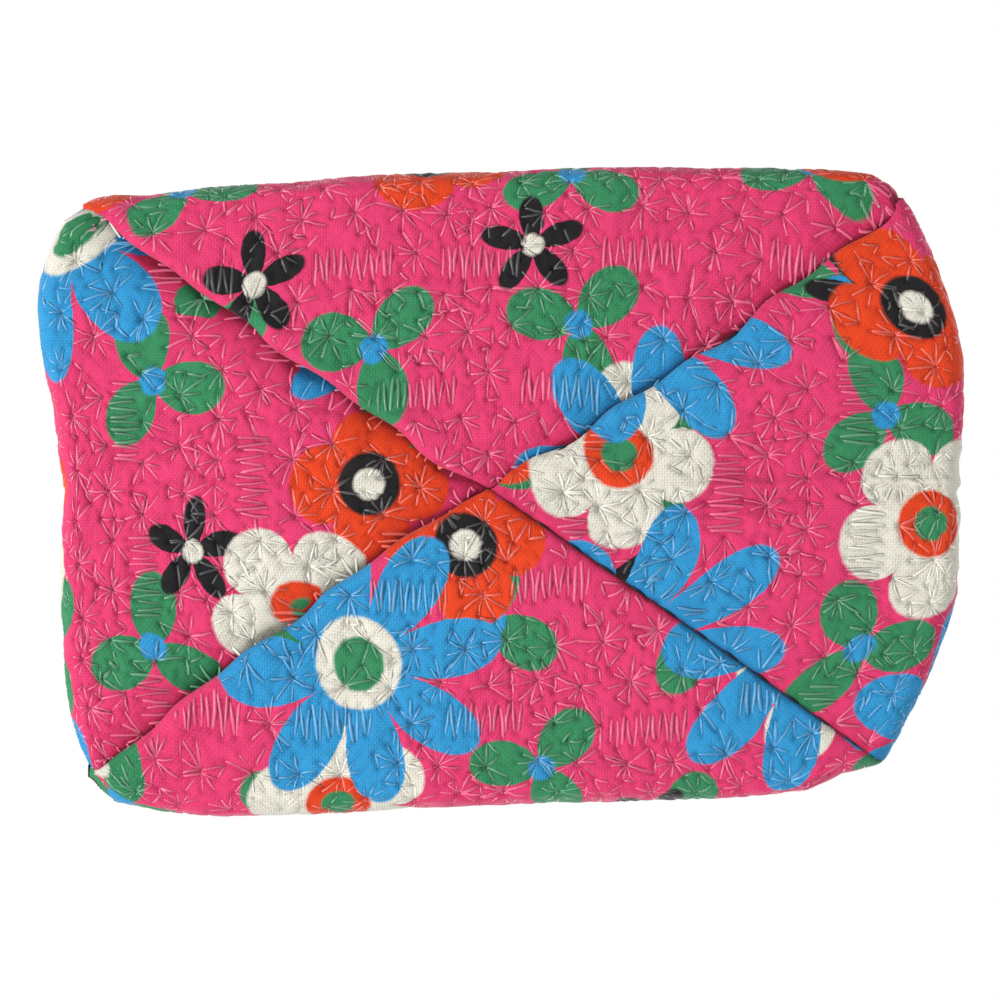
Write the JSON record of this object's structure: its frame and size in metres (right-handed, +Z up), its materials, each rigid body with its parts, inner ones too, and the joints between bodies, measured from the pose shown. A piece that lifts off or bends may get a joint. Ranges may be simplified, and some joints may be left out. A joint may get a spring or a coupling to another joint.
{
  "type": "kiss lock coin purse",
  "caption": "Boxy cloth coin purse with a cross-seamed flat base, quilted walls and lining, and a hinged metal frame that closes with two clasp balls.",
  "frame": {"origin": "middle of the base, on the surface that the purse stands on", "axes": "+X along the frame, -Y the front, +Z up from the base to the clasp"},
  "size_m": [0.1062, 0.0738, 0.0934],
  "materials": {
    "printed_cotton": "woven, printed",
    "lining_cotton": "woven",
    "fleece": "felted",
    "thread": "twisted",
    "twisted_paper": "matte",
    "plated_brass": "polished"
  },
  "bodies": {
    "purse_body": {"front_panel": "printed_cotton", "front_interlining": "fleece", "front_lining": "lining_cotton", "right_gusset": "printed_cotton", "right_interlining": "fleece", "right_lining": "lining_cotton", "back_panel": "printed_cotton", "back_interlining": "fleece", "back_lining": "lining_cotton", "left_gusset": "printed_cotton", "left_interlining": "fleece", "left_lining": "lining_cotton", "long_seam_thread": "thread", "right_seam_thread": "thread", "left_seam_thread": "thread", "left_hinge_rivet": "plated_brass", "right_hinge_rivet": "plated_brass"},
    "front_half": {"front_frame": "plated_brass", "front_paper_cord": "twisted_paper", "front_clasp_post": "plated_brass", "front_clasp_ball": "plated_brass", "front_mouth_panel": "printed_cotton", "front_mouth_lining": "lining_cotton"},
    "back_half": {"back_frame": "plated_brass", "back_paper_cord": "twisted_paper", "back_clasp_post": "plated_brass", "back_clasp_ball": "plated_brass", "back_mouth_panel": "printed_cotton", "back_mouth_lining": "lining_cotton"}
  },
  "joints": [
    {"name": "front_half_hinge", "type": "hinge", "parent": "purse_body", "child": "front_half", "pos_m": [0, 0, 0.046], "axis": [1, 0, 0], "range_deg": [0, 50]},
    {"name": "back_half_hinge", "type": "hinge", "parent": "purse_body", "child": "back_half", "pos_m": [0, 0, 0.046], "axis": [1, 0, 0], "range_deg": [-50, 0]}
  ],
  "couplings": [
    {"joint": "back_half_hinge", "follows": "front_half_hinge", "ratio": -1}
  ]
}
